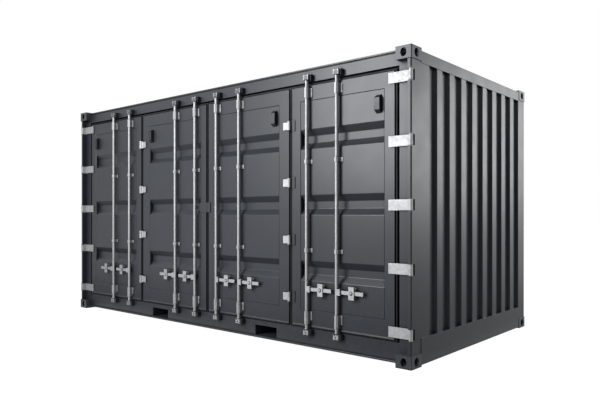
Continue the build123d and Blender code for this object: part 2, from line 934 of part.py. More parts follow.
rod_layout = []
for side in (right, left):
    outer_name = f"{side_names[side]}_outer_leaf"
    inner_name = f"{side_names[side]}_inner_leaf"
    leaf_frame(outer_name, side, leaf_edge, fold_edge, outer_post_stile, outer_fold_stile)
    leaf_frame(inner_name, side, inner_edge, centre_edge, inner_fold_stile, inner_centre_stile)
    leaf_panel(outer_name, side, leaf_edge + outer_post_stile, fold_edge - outer_fold_stile)
    leaf_panel(inner_name, side, inner_edge + inner_fold_stile, centre_edge - inner_centre_stile)
    leaf_gasket(outer_name, side, leaf_edge, fold_edge)
    leaf_gasket(inner_name, side, inner_edge, centre_edge)
    post_straps(outer_name, side)
    outer_fold_hinges(outer_name, side)
    inner_fold_hinges(inner_name, side)
    outer_rods = (fold_edge - outer_rod_inset - rod_spacing, fold_edge - outer_rod_inset)
    inner_rods = (centre_edge - inner_rod_inset - rod_spacing, centre_edge - inner_rod_inset)
    for name, rods in ((outer_name, outer_rods), (inner_name, inner_rods)):
        rod_guides(name, side, rods)
        for number, rod in enumerate(rods, start=1):
            lock_rod(f"{name}_lock_rod_{number}", side, rod)
            rod_layout.append((side, rod))
    vent(outer_name, side, leaf_edge + outer_post_stile)
    vent(inner_name, side, inner_edge + inner_fold_stile)

with BuildPart() as cam_keepers:
    clear = (cam_reach**2 + cam_half_depth**2) ** 0.5 + cam_clear
    outer_half = clear + keeper_lug
    keeper_front = sill_recess - keeper_plate - keeper_reach
    for side, rod in rod_layout:
        corners = [
            (rod - outer_half, sill_recess),
            (rod - outer_half, keeper_front),
            (rod - clear, keeper_front),
            (rod - clear, sill_recess - keeper_plate),
            (rod + clear, sill_recess - keeper_plate),
            (rod + clear, keeper_front),
            (rod + outer_half, keeper_front),
            (rod + outer_half, sill_recess),
        ]
        for level in (lower_cam_level, upper_cam_level):
            with BuildSketch(Plane.XY.offset(level - keeper_height / 2)):
                with BuildLine():
                    Polyline(*[spot(side, s, t) for s, t in corners], close=True)
                make_face()
            extrude(amount=keeper_height)
finish(cam_keepers.part, "cam_keepers")

plate_level = (leaf_bottom + leaf_top) / 2
over_gap = (centre_gap - lap_slit) / 2
lap_stub_width = lap_stub + over_gap

with BuildPart() as lap_plate:
    centre_x = spot(left, centre_edge, 0)[0]
    with BuildSketch(Plane.XZ.offset(half_width - leaf_recess)):
        with Locations((centre_x + over_gap, plate_level)):
            Rectangle(lap_on_leaf + over_gap, lap_height, align=(Align.MAX, Align.CENTER))
        with Locations((centre_x - lap_on_leaf, plate_level)):
            Rectangle(lap_tail, lap_tail_height, align=(Align.MAX, Align.CENTER))
    extrude(amount=lap_thickness)
finish(lap_plate.part, "centre_lap_plate")

with BuildPart() as lap_stub:
    centre_x = spot(right, centre_edge, 0)[0]
    with BuildSketch(Plane.XZ.offset(half_width - leaf_recess)):
        with Locations((centre_x - over_gap, plate_level)):
            Rectangle(lap_stub_width, lap_height, align=(Align.MIN, Align.CENTER))
    extrude(amount=lap_thickness)
finish(lap_stub.part, "right_inner_leaf_lap_stub")
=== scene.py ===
# %% [markdown]
# # A side-opening shipping container
# This lesson dresses a finished steel model. The frame brings every welded piece at its real size, in metres,
# with +X along the length, +Z up and the doors facing -Y. What is left for Blender is the finish: paint, zinc,
# rubber and plywood, the small fasteners and beads that a welder leaves, and the light.

# %% Load the frame
import json
import math

import bmesh
import bpy
from mathutils import Matrix, Vector


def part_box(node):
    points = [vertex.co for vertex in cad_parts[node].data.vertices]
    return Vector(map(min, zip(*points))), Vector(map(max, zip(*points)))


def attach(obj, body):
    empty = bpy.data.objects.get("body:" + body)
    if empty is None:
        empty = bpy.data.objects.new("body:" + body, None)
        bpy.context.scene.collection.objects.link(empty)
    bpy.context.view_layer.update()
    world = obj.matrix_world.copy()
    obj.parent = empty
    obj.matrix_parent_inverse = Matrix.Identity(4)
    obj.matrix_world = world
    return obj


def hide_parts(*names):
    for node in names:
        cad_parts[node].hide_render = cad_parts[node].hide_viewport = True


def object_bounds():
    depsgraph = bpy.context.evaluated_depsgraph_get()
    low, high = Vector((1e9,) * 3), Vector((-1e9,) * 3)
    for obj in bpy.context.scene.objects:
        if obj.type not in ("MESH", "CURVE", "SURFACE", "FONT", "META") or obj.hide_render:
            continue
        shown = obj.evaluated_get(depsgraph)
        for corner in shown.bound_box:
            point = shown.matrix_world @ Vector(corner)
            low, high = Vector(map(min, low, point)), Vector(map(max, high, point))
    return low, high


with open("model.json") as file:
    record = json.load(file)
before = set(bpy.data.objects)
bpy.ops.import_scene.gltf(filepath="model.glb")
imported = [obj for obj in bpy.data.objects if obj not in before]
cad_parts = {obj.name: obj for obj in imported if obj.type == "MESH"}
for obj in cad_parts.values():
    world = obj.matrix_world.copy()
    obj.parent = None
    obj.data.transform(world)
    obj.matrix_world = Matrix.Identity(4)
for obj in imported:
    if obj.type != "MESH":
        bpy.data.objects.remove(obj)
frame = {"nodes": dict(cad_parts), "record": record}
cad_box = [list(corner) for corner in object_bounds()]
nodes = frame["nodes"]
record = frame["record"]

# %% [markdown]
# ## The camera
# A camera can be placed by eye, but the eight corners of a freight container are known to the millimetre, so
# the place, the heading and the lens were solved from where those corners fall in the picture. The camera looks
# level, and the lens is shifted, which keeps the posts upright.

# %% Camera
IMAGE_WIDTH = 600
SENSOR_WIDTH = 36.0
FOCAL_PIXELS = 562.6
CAMERA_PLACE = (5.895, -5.2845, 1.379)
CAMERA_HEADING = math.radians(34.647)
PICTURE_SHIFT = (-116.7 / IMAGE_WIDTH, 14.9 / IMAGE_WIDTH)

camera_data = bpy.data.cameras.new("camera")
camera_data.sensor_fit = "HORIZONTAL"
camera_data.sensor_width = SENSOR_WIDTH
camera_data.lens = FOCAL_PIXELS / IMAGE_WIDTH * SENSOR_WIDTH
camera_data.shift_x, camera_data.shift_y = PICTURE_SHIFT
camera = bpy.data.objects.new("camera", camera_data)
camera.location = CAMERA_PLACE
camera.rotation_euler = (math.pi / 2, 0, CAMERA_HEADING)
bpy.context.scene.collection.objects.link(camera)
bpy.context.scene.camera = camera
print("lens", round(camera_data.lens, 2), "mm, heading", round(math.degrees(CAMERA_HEADING), 1), "degrees")

# %% [markdown]
# ## Floor, background and light
# The picture is a product shot on white. The floor glows white only for rays that come from the camera, a
# mirror or glass, and keeps a little plain diffuse so that the container's soft shadow stays. One softbox
# stands in front, where its reflection falls on the upper right of the doors. One stands far behind on the
# right, so that its light rakes along the end wall and leaves the channels dark.


# %% Floor and world
def light_path_mask(tree):
    """Adds up the rays that should see the white background and returns that socket."""
    paths = tree.nodes.new("ShaderNodeLightPath")
    first = tree.nodes.new("ShaderNodeMath")
    first.operation = "MAXIMUM"
    second = tree.nodes.new("ShaderNodeMath")
    second.operation = "MAXIMUM"
    tree.links.new(paths.outputs["Is Camera Ray"], first.inputs[0])
    tree.links.new(paths.outputs["Is Glossy Ray"], first.inputs[1])
    tree.links.new(first.outputs[0], second.inputs[0])
    tree.links.new(paths.outputs["Is Transmission Ray"], second.inputs[1])
    return second.outputs[0]


FLOOR_REACH = 60.0
FLOOR_GLOW = 0.95
FLOOR_SHADOW_GREY = 0.22
FLOOR_BOUNCE_GREY = 0.30

floor_mesh = bpy.data.meshes.new("studio_floor")
corners = [(x * FLOOR_REACH, y * FLOOR_REACH, 0) for x, y in ((-1, -1), (1, -1), (1, 1), (-1, 1))]
floor_mesh.from_pydata(corners, [], [(0, 1, 2, 3)])
studio_floor = bpy.data.objects.new("studio_floor", floor_mesh)
bpy.context.scene.collection.objects.link(studio_floor)

floor_finish = bpy.data.materials.new("studio_floor_white")
floor_finish.use_nodes = True
tree = floor_finish.node_tree
tree.nodes.clear()
output = tree.nodes.new("ShaderNodeOutputMaterial")
glow = tree.nodes.new("ShaderNodeEmission")
glow.inputs["Strength"].default_value = FLOOR_GLOW
shaded = tree.nodes.new("ShaderNodeBsdfDiffuse")
shaded.inputs["Color"].default_value = (FLOOR_SHADOW_GREY,) * 3 + (1,)
seen = tree.nodes.new("ShaderNodeAddShader")
tree.links.new(glow.outputs[0], seen.inputs[0])
tree.links.new(shaded.outputs[0], seen.inputs[1])
bounce = tree.nodes.new("ShaderNodeBsdfDiffuse")
bounce.inputs["Color"].default_value = (FLOOR_BOUNCE_GREY,) * 3 + (1,)
choose = tree.nodes.new("ShaderNodeMixShader")
tree.links.new(light_path_mask(tree), choose.inputs[0])
tree.links.new(bounce.outputs[0], choose.inputs[1])
tree.links.new(seen.outputs[0], choose.inputs[2])
tree.links.new(choose.outputs[0], output.inputs["Surface"])
floor_mesh.materials.append(floor_finish)

WORLD_SEEN = 1.0
WORLD_FILL = 0.35
PURE_WHITE = (1.0, 1.0, 1.0, 1.0)
world = bpy.data.worlds.new("studio_white")
bpy.context.scene.world = world
world.use_nodes = True
tree = world.node_tree
tree.nodes.clear()
output = tree.nodes.new("ShaderNodeOutputWorld")
fill = tree.nodes.new("ShaderNodeBackground")
fill.inputs["Color"].default_value = PURE_WHITE
fill.inputs["Strength"].default_value = WORLD_FILL
white = tree.nodes.new("ShaderNodeBackground")
white.inputs["Color"].default_value = PURE_WHITE
white.inputs["Strength"].default_value = WORLD_SEEN
choose = tree.nodes.new("ShaderNodeMixShader")
tree.links.new(light_path_mask(tree), choose.inputs[0])
tree.links.new(fill.outputs[0], choose.inputs[1])
tree.links.new(white.outputs[0], choose.inputs[2])
tree.links.new(choose.outputs[0], output.inputs["Surface"])
bpy.context.scene.view_settings.view_transform = "Standard"
print("floor reaches", FLOOR_REACH, "m; world fill", WORLD_FILL)

# %% [markdown]
# An area lamp gives the soft edge of a photographer's softbox. It shines along its own -Z, so it is turned
# until that axis points at its target.


# %% Lamps
def softbox(name, place, target, width, height, watts):
    """A rectangular area lamp at a place, turned to face a target."""
    data = bpy.data.lights.new(name, "AREA")
    data.shape = "RECTANGLE"
    data.size = width
    data.size_y = height
    data.energy = watts
    lamp = bpy.data.objects.new(name, data)
    lamp.location = place
    lamp.rotation_euler = (Vector(target) - Vector(place)).to_track_quat("-Z", "Y").to_euler()
    bpy.context.scene.collection.objects.link(lamp)
    return lamp


softbox("front_softbox", place=(-0.8, -6.0, 3.8), target=(2.7, -1.2, 2.1), width=3.0, height=3.5, watts=428)
softbox("end_softbox", place=(9.0, 9.0, 3.7), target=(3.0, 0.0, 1.6), width=4.2, height=4.0, watts=400)
print("two softboxes")

# %% [markdown]
# White all round would flatten the round rods, so a photographer hangs black cloth where no white should be
# mirrored: beside the camera, for the dark side of every rod, overhead, and low in front, for the darker foot
# of the container. Two of the sheets, at the end and far to the left, glow dimly: they stand for grey panels.
# All of it belongs to the studio. Only reflections meet it: the camera never sees it, it throws no shadow and
# it lights nothing.


# %% Black cloth
def black_cloth(name, corners, grey, glow=0.0):
    """A dark sheet of the studio that only reflections meet; glow makes it a dim panel instead."""
    mesh = bpy.data.meshes.new(name)
    mesh.from_pydata(corners, [], [(0, 1, 2, 3)])
    sheet = bpy.data.objects.new(name, mesh)
    bpy.context.scene.collection.objects.link(sheet)
    finish = bpy.data.materials.new(name)
    finish.use_nodes = True
    shader = finish.node_tree.nodes["Principled BSDF"]
    shader.inputs["Base Color"].default_value = (grey, grey, grey, 1)
    shader.inputs["Roughness"].default_value = 1.0
    shader.inputs["Specular IOR Level"].default_value = 0.0
    shader.inputs["Emission Color"].default_value = PURE_WHITE
    shader.inputs["Emission Strength"].default_value = glow
    mesh.materials.append(finish)
    sheet.visible_camera = False
    sheet.visible_diffuse = False
    sheet.visible_shadow = False
    return sheet


CLOTH_TOP = 4.2
LOW_CLOTH = 0.01
HIGH_CLOTH = 5.6
DEEP_BLACK = 0.01
DARK_GREY = 0.30
END_GLOW = 0.50
FAR_GLOW = 0.58


def upright(start, end):
    """The corners of a sheet that hangs from the cloth's top to the floor."""
    return [(*start, 0), (*end, 0), (*end, CLOTH_TOP), (*start, CLOTH_TOP)]


def lying(low, high, level):
    """The corners of a flat sheet at a level."""
    return [(low[0], low[1], level), (high[0], low[1], level),
            (high[0], high[1], level), (low[0], high[1], level)]


black_cloth("camera_cloth", upright((5.2, -7.6), (9.2, -4.8)), DEEP_BLACK)
black_cloth("side_cloth", upright((9.2, -4.8), (9.6, 0.2)), DEEP_BLACK)
black_cloth("foot_cloth", lying((-6.0, -3.4), (9.0, -1.3), LOW_CLOTH), DARK_GREY)
black_cloth("end_cloth", lying((3.1, -1.3), (9.0, 5.0), LOW_CLOTH), DEEP_BLACK, END_GLOW)
black_cloth("ceiling_cloth", lying((-7.0, -5.2), (6.0, -0.4), HIGH_CLOTH), DEEP_BLACK)
black_cloth("far_cloth", upright((-9.0, -7.0), (-6.0, -2.0)), DEEP_BLACK, FAR_GLOW)
print("six cloths")

# %% [markdown]
# ## Finishes
# A new painted container is not one flat grey. The sheet is a little uneven, dust settles low down, the spray
# leaves a fine orange peel, and corners that catch handling are lighter. Each of these is one node group with
# named inputs, so that several materials can share it with their own values.

# %% Node group helpers
COLOUR = "NodeSocketColor"
NUMBER = "NodeSocketFloat"


def new_group(name, inputs, outputs):
    """A shader node group with float or colour sockets; returns the tree with its input and output nodes."""
    group = bpy.data.node_groups.new(name, "ShaderNodeTree")
    for socket_name, kind, value in inputs:
        socket = group.interface.new_socket(socket_name, in_out="INPUT", socket_type=kind)
        socket.default_value = value
    for socket_name, kind in outputs:
        group.interface.new_socket(socket_name, in_out="OUTPUT", socket_type=kind)
    return group, group.nodes.new("NodeGroupInput"), group.nodes.new("NodeGroupOutput")


def math_node(tree, operation, first, second):
    """A math node whose two inputs are sockets or numbers; returns its output socket."""
    node = tree.nodes.new("ShaderNodeMath")
    node.operation = operation
    for place, value in ((0, first), (1, second)):
        if isinstance(value, (int, float)):
            node.inputs[place].default_value = value
        else:
            tree.links.new(value, node.inputs[place])
    return node.outputs[0]


def ramp_node(tree, value, low, high, low_value=0.0, high_value=1.0):
    """Spreads a value from the range low to high onto low_value to high_value, clamped."""
    node = tree.nodes.new("ShaderNodeMapRange")
    node.inputs["From Min"].default_value = low
    node.inputs["From Max"].default_value = high
    node.inputs["To Min"].default_value = low_value
    node.inputs["To Max"].default_value = high_value
    tree.links.new(value, node.inputs["Value"])
    return node.outputs["Result"]


def noise_node(tree, vector, scale, detail=3.0, roughness=0.5):
    """A noise texture on the given vector; returns its value socket."""
    node = tree.nodes.new("ShaderNodeTexNoise")
    node.inputs["Detail"].default_value = detail
    node.inputs["Roughness"].default_value = roughness
    node.inputs["Scale"].default_value = scale
    tree.links.new(vector, node.inputs["Vector"])
    return node.outputs[0]


def mix_colours(tree, factor, first, second):
    """Mixes two colours by a factor; each may be a socket or an RGB tuple."""
    node = tree.nodes.new("ShaderNodeMix")
    node.data_type = "RGBA"
    sockets = {"factor": node.inputs[0], "first": node.inputs[6], "second": node.inputs[7]}
    for key, value in (("factor", factor), ("first", first), ("second", second)):
        if isinstance(value, (int, float)):
            sockets[key].default_value = value
        elif isinstance(value, tuple):
            sockets[key].default_value = value + (1,)
        else:
            tree.links.new(value, sockets[key])
    return node.outputs[2]


print("node helpers ready")

# %% [markdown]
# ### Weathered tone
# Large soft clouds of lighter and darker paint, faint vertical streaks where rain has run, and dust that
# gathers near the ground. Object coordinates are metres here, so the scales are real sizes.


# %% Weathered tone group
DUST_TOP = 0.9
DUST_COLOUR = (0.30, 0.28, 0.25)
STREAK_STRETCH = (9.0, 9.0, 0.5)


def weathered_tone():
    group, inlet, outlet = new_group(
        "weathered_tone",
        [("Colour", COLOUR, (0.5, 0.5, 0.5, 1)), ("Clouds", NUMBER, 0.1), ("Streaks", NUMBER, 0.1),
         ("Dust", NUMBER, 0.1)],
        [("Colour", COLOUR)])
    place = group.nodes.new("ShaderNodeTexCoord").outputs["Object"]
    clouds = ramp_node(group, noise_node(group, place, 1.3, 4.0), 0.3, 0.7, -1.0, 1.0)
    stretch = group.nodes.new("ShaderNodeMapping")
    stretch.inputs["Scale"].default_value = STREAK_STRETCH
    group.links.new(place, stretch.inputs["Vector"])
    streaks = ramp_node(group, noise_node(group, stretch.outputs[0], 2.0, 4.0, 0.6), 0.45, 0.75)
    axes = group.nodes.new("ShaderNodeSeparateXYZ")
    group.links.new(place, axes.inputs[0])
    low_down = ramp_node(group, axes.outputs["Z"], 0.0, DUST_TOP, 1.0, 0.0)
    speckle = ramp_node(group, noise_node(group, place, 14.0, 5.0, 0.65), 0.4, 0.7)
    dust = math_node(group, "MULTIPLY", math_node(group, "MULTIPLY", low_down, speckle), inlet.outputs["Dust"])
    brighter = math_node(group, "MULTIPLY", clouds, inlet.outputs["Clouds"])
    washed = math_node(group, "MULTIPLY", streaks, inlet.outputs["Streaks"])
    brighter = math_node(group, "ADD", brighter, washed)
    tone = group.nodes.new("ShaderNodeHueSaturation")
    group.links.new(math_node(group, "ADD", brighter, 1.0), tone.inputs["Value"])
    group.links.new(inlet.outputs["Colour"], tone.inputs["Color"])
    dusty = mix_colours(group, dust, tone.outputs[0], DUST_COLOUR)
    group.links.new(dusty, outlet.inputs["Colour"])
    return group


weathered = weathered_tone()
print("group", weathered.name)

# %% [markdown]
# ### Worn edges and painted shade in corners
# A bevel normal differs from the true normal only near an edge, so their difference marks the edges that
# handling rubs. Ambient occlusion over 3 cm darkens corners and creases with painted shade. Over 11 cm it tells
# how open a place is; where a place is hemmed in, in a channel, in a casting's hole or right behind a rod, the
# paint's coat and the zinc's tone are taken down, which is painted shade as well.


# %% Edges and corners group
WEAR_RADIUS = 0.006
CORNER_SHADE_REACH = 0.03
OPEN_REACH = 0.11
CORNER_SHADE_COLOUR = (0.004, 0.004, 0.005)


def edges_and_corners():
    group, inlet, outlet = new_group(
        "edges_and_corners",
        [("Colour", COLOUR, (0.5, 0.5, 0.5, 1)), ("Edge Colour", COLOUR, (0.6, 0.6, 0.6, 1)),
         ("Edge", NUMBER, 0.3), ("Corner", NUMBER, 0.5)],
        [("Colour", COLOUR), ("Open", NUMBER)])
    place = group.nodes.new("ShaderNodeTexCoord").outputs["Object"]
    rounded = group.nodes.new("ShaderNodeBevel")
    rounded.samples = 4
    rounded.inputs["Radius"].default_value = WEAR_RADIUS
    true_normal = group.nodes.new("ShaderNodeNewGeometry").outputs["True Normal"]
    compare = group.nodes.new("ShaderNodeVectorMath")
    compare.operation = "DOT_PRODUCT"
    group.links.new(rounded.outputs[0], compare.inputs[0])
    group.links.new(true_normal, compare.inputs[1])
    edge = ramp_node(group, compare.outputs["Value"], 0.995, 0.85)
    patchy = ramp_node(group, noise_node(group, place, 22.0, 4.0, 0.6), 0.35, 0.65)
    edge = math_node(group, "MULTIPLY", math_node(group, "MULTIPLY", edge, patchy), inlet.outputs["Edge"])
    # painted shade: occlusion over a short reach darkens corners and creases toward a near-black colour
    hollow = group.nodes.new("ShaderNodeAmbientOcclusion")
    hollow.samples = 6
    hollow.inputs["Distance"].default_value = CORNER_SHADE_REACH
    dark = ramp_node(group, hollow.outputs["AO"], 0.25, 0.85, 1.0, 0.0)
    dark = math_node(group, "MULTIPLY", dark, inlet.outputs["Corner"])
    shaded = mix_colours(group, dark, inlet.outputs["Colour"], CORNER_SHADE_COLOUR)
    wear_and_shade = mix_colours(group, edge, shaded, inlet.outputs["Edge Colour"])
    group.links.new(wear_and_shade, outlet.inputs["Colour"])
    # painted shade: occlusion over a wider reach gives the Open mask, which takes the paint's coat and the
    # zinc's tone down where a place is hemmed in
    wide = group.nodes.new("ShaderNodeAmbientOcclusion")
    wide.samples = 8
    wide.inputs["Distance"].default_value = OPEN_REACH
    group.links.new(ramp_node(group, wide.outputs["AO"], 0.50, 0.90), outlet.inputs["Open"])
    return group


wear_and_shade = edges_and_corners()
print("group", wear_and_shade.name)

# %% [markdown]
# ### Sprayed skin
# Sprayed paint dries with a fine orange peel, and the thin sheet under it is never quite flat. The group puts
# out one height for a bump node and a roughness that varies a little.


# %% Sprayed skin group
def sprayed_skin():
    group, inlet, outlet = new_group(
        "sprayed_skin",
        [("Roughness", NUMBER, 0.5), ("Spread", NUMBER, 0.1), ("Peel", NUMBER, 0.2), ("Wave", NUMBER, 1.0)],
        [("Roughness", NUMBER), ("Height", NUMBER)])
    place = group.nodes.new("ShaderNodeTexCoord").outputs["Object"]
    peel = noise_node(group, place, 260.0, 2.0)
    wave = noise_node(group, place, 2.6, 1.0)
    height = math_node(group, "MULTIPLY", peel, inlet.outputs["Peel"])
    height = math_node(group, "ADD", height, math_node(group, "MULTIPLY", wave, inlet.outputs["Wave"]))
    patch = ramp_node(group, noise_node(group, place, 5.0, 4.0), 0.3, 0.7, -1.0, 1.0)
    uneven = math_node(group, "MULTIPLY", patch, inlet.outputs["Spread"])
    rough = math_node(group, "ADD", inlet.outputs["Roughness"], uneven)
    group.links.new(rough, outlet.inputs["Roughness"])
    group.links.new(height, outlet.inputs["Height"])
    return group


skin = sprayed_skin()
print("group", skin.name)

# %% [markdown]
# ### Building a material
# Three small steps come back in every finish: start from a Principled shader, place a group with this finish's
# own values, and turn a height into a bump. The bump carries only what is finer than the meshes.


# %% Material helpers
def new_material(name):
    """A material with an empty tree but for its Principled shader and output."""
    material = bpy.data.materials.new(name)
    material.use_nodes = True
    shader = material.node_tree.nodes["Principled BSDF"]
    return material, material.node_tree, shader


def place_group(tree, group, **values):
    """Puts a node group into a material and sets its inputs; an underscore in a name stands for a space."""
    node = tree.nodes.new("ShaderNodeGroup")
    node.node_tree = group
    for key, value in values.items():
        node.inputs[key.replace("_", " ")].default_value = value
    return node


def bump_from(tree, height, distance, strength, shader):
    """Feeds a height in metres of distance to the shader's normal."""
    bump = tree.nodes.new("ShaderNodeBump")
    bump.inputs["Distance"].default_value = distance
    bump.inputs["Strength"].default_value = strength
    tree.links.new(height, bump.inputs["Height"])
    tree.links.new(bump.outputs[0], shader.inputs["Normal"])


print("material helpers ready")

# %% [markdown]
# ### Grey paint
# Satin anthracite over steel, with a clear binder on top. The binder is the shader's coat: it mirrors the
# studio where the paint lies open and is taken away where the paint is hemmed in, which paints shade into the
# channels and gaps so that they stay dark.


# %% Grey paint and casting paint
COOL_TINT = (0.90, 0.96, 1.0, 1.0)
PAINT_MIRROR = 0.15
PAINT_COAT = 0.52
PAINT_BUMP = 0.004
CAST_GRAIN_SCALE = 90.0
RUBBED_PAINT = (0.16, 0.165, 0.17, 1)


def painted_steel(name, colour, rough, peel, cast_grain):
    material, tree, shader = new_material(name)
    tone = place_group(tree, weathered, Colour=colour + (1,), Clouds=0.06, Streaks=0.05, Dust=0.04)
    edges = place_group(tree, wear_and_shade, Edge_Colour=RUBBED_PAINT, Edge=0.25, Corner=0.45)
    coat = place_group(tree, skin, Roughness=rough, Spread=0.05, Peel=peel, Wave=0.05)
    tree.links.new(tone.outputs["Colour"], edges.inputs["Colour"])
    tree.links.new(edges.outputs["Colour"], shader.inputs["Base Color"])
    tree.links.new(coat.outputs["Roughness"], shader.inputs["Roughness"])
    # painted shade: the coat is taken away where the Open mask says the paint is hemmed in
    coat_with_painted_shade = ramp_node(tree, edges.outputs["Open"], 0.0, 1.0, 0.0, PAINT_COAT)
    tree.links.new(coat_with_painted_shade, shader.inputs["Coat Weight"])
    shader.inputs["Coat Roughness"].default_value = rough
    shader.inputs["Specular IOR Level"].default_value = PAINT_MIRROR
    shader.inputs["Specular Tint"].default_value = COOL_TINT
    height = coat.outputs["Height"]
    if cast_grain:
        place = tree.nodes.new("ShaderNodeTexCoord").outputs["Object"]
        grain = noise_node(tree, place, CAST_GRAIN_SCALE, 4.0)
        height = math_node(tree, "ADD", height, math_node(tree, "MULTIPLY", grain, cast_grain))
    bump_from(tree, height, PAINT_BUMP, 0.35, shader)
    return material


grey_paint = painted_steel("grey_paint", (0.0225, 0.0265, 0.0335), rough=0.38, peel=0.03, cast_grain=0.0)
casting_paint = painted_steel("casting_paint", (0.0430, 0.0480, 0.0560), rough=0.40, peel=0.05, cast_grain=0.12)
print("paints", grey_paint.name, casting_paint.name)

# %% [markdown]
# ### Galvanised steel
# Hot zinc freezes in flat crystals, the spangle, a centimetre or two across. Each crystal is a Voronoi cell
# with its own tone and roughness; fine scratches and a dull bloom lie over them.


# %% Galvanised steel
SPANGLE_SCALE = 75.0
DULL_ZINC = (0.37, 0.38, 0.395)
BRIGHT_ZINC = (0.475, 0.485, 0.495)
BLOOM = (0.40, 0.41, 0.42)
SHADED_ZINC = (0.05, 0.05, 0.055)
RUBBED_ZINC = (0.86, 0.87, 0.88, 1)


def zinc(name):
    material, tree, shader = new_material(name)
    place = tree.nodes.new("ShaderNodeTexCoord").outputs["Object"]
    crystals = tree.nodes.new("ShaderNodeTexVoronoi")
    crystals.inputs["Scale"].default_value = SPANGLE_SCALE
    tree.links.new(place, crystals.inputs["Vector"])
    cell = tree.nodes.new("ShaderNodeSeparateColor")
    tree.links.new(crystals.outputs["Color"], cell.inputs[0])
    tone = mix_colours(tree, cell.outputs[0], DULL_ZINC, BRIGHT_ZINC)
    bloom = ramp_node(tree, noise_node(tree, place, 9.0, 5.0, 0.6), 0.45, 0.75)
    tone = mix_colours(tree, math_node(tree, "MULTIPLY", bloom, 0.25), tone, BLOOM)
    edges = place_group(tree, wear_and_shade, Edge_Colour=RUBBED_ZINC, Edge=0.4, Corner=0.45)
    tree.links.new(tone, edges.inputs["Colour"])
    shade = ramp_node(tree, edges.outputs["Open"], 0.0, 1.0, 0.48, 0.0)
    tone = mix_colours(tree, shade, edges.outputs["Colour"], SHADED_ZINC)
    tree.links.new(tone, shader.inputs["Base Color"])
    rough = ramp_node(tree, cell.outputs[1], 0.0, 1.0, 0.56, 0.68)
    rough = math_node(tree, "ADD", rough, math_node(tree, "MULTIPLY", bloom, 0.08))
    tree.links.new(rough, shader.inputs["Roughness"])
    shader.inputs["Metallic"].default_value = 0.8
    bump_from(tree, noise_node(tree, place, 180.0, 3.0), 0.0008, 0.3, shader)
    return material


galvanised_steel = zinc("galvanised_steel")
print("zinc", galvanised_steel.name)

# %% [markdown]
# ### Rubber and moulded vents
# Door seals are dull black rubber with a soft bloom. The vent hoods are moulded plastic, a little shinier, with
# edges that have gone grey. Both share the groups above and differ only in their values.


# %% Rubber and moulded vents
def rubber(name):
    material, tree, shader = new_material(name)
    tone = place_group(tree, weathered, Colour=(0.011, 0.0115, 0.0125, 1), Clouds=0.15, Streaks=0.1, Dust=0.03)
    tree.links.new(tone.outputs["Colour"], shader.inputs["Base Color"])
    coat = place_group(tree, skin, Roughness=0.62, Spread=0.08, Peel=0.2, Wave=0.2)
    tree.links.new(coat.outputs["Roughness"], shader.inputs["Roughness"])
    shader.inputs["Specular IOR Level"].default_value = 0.22
    shader.inputs["Specular Tint"].default_value = COOL_TINT
    bump_from(tree, coat.outputs["Height"], 0.002, 0.3, shader)
    return material


def moulded_plastic(name):
    material, tree, shader = new_material(name)
    edges = place_group(tree, wear_and_shade, Colour=(0.012, 0.0125, 0.0135, 1), Edge_Colour=(0.05, 0.05, 0.05, 1),
                        Edge=0.4, Corner=0.4)
    tree.links.new(edges.outputs["Colour"], shader.inputs["Base Color"])
    coat = place_group(tree, skin, Roughness=0.48, Spread=0.05, Peel=0.25, Wave=0.0)
    tree.links.new(coat.outputs["Roughness"], shader.inputs["Roughness"])
    shader.inputs["Specular Tint"].default_value = COOL_TINT
    bump_from(tree, coat.outputs["Height"], 0.0012, 0.4, shader)
    return material


door_rubber = rubber("door_rubber")
vent_black = moulded_plastic("vent_black")
print("black parts", door_rubber.name, vent_black.name)

# %% [markdown]
# ### Plywood
# A container's floor is laid in plywood sheets. The grain runs along the length, so the noise is stretched that
# way. Each sheet draws its own tone from its number along the floor, and a dark line marks the joint.

# %% Plywood
BOARD = 1.16
SEAM = 0.004
DARK_GRAIN, PALE_GRAIN = (0.20, 0.115, 0.06), (0.42, 0.27, 0.155)
DARK_BOARD = (0.15, 0.085, 0.05)
SEAM_COLOUR = (0.02, 0.012, 0.008)
GRAIN_STRETCH = (0.6, 14.0, 14.0)


def plywood(name):
    material, tree, shader = new_material(name)
    place = tree.nodes.new("ShaderNodeTexCoord").outputs["Object"]
    grain = tree.nodes.new("ShaderNodeMapping")
    grain.inputs["Scale"].default_value = GRAIN_STRETCH
    tree.links.new(place, grain.inputs["Vector"])
    lines = noise_node(tree, grain.outputs[0], 3.0, 6.0, 0.65)
    tone = mix_colours(tree, ramp_node(tree, lines, 0.3, 0.7), DARK_GRAIN, PALE_GRAIN)
    axes = tree.nodes.new("ShaderNodeSeparateXYZ")
    tree.links.new(place, axes.inputs[0])
    boards = math_node(tree, "DIVIDE", axes.outputs["X"], BOARD)
    lot = tree.nodes.new("ShaderNodeTexWhiteNoise")
    lot.noise_dimensions = "1D"
    tree.links.new(math_node(tree, "FLOOR", boards, 0.0), lot.inputs["W"])
    darker = ramp_node(tree, lot.outputs["Value"], 0.0, 1.0, 0.0, 0.35)
    tone = mix_colours(tree, darker, tone, DARK_BOARD)
    seam = ramp_node(tree, math_node(tree, "PINGPONG", boards, 0.5), 0.0, SEAM / BOARD, 1.0, 0.0)
    tone = mix_colours(tree, seam, tone, SEAM_COLOUR)
    weather = place_group(tree, weathered, Clouds=0.15, Streaks=0.0, Dust=0.0)
    tree.links.new(tone, weather.inputs["Colour"])
    tree.links.new(weather.outputs["Colour"], shader.inputs["Base Color"])
    tree.links.new(ramp_node(tree, lines, 0.3, 0.7, 0.5, 0.68), shader.inputs["Roughness"])
    bump_from(tree, lines, 0.0015, 0.4, shader)
    return material


floor_plywood = plywood("floor_plywood")
FINISHES = {"grey_paint": grey_paint, "casting_paint": casting_paint, "galvanised_steel": galvanised_steel,
            "door_rubber": door_rubber, "vent_black": vent_black, "floor_plywood": floor_plywood}
print("finishes", sorted(FINISHES))

# %% [markdown]
# ## Dressing the frame
# Each carried-over piece takes the finish that its record names. Sharp edges never glint, so a small bevel is
# added as a modifier: the mesh itself stays as it came.


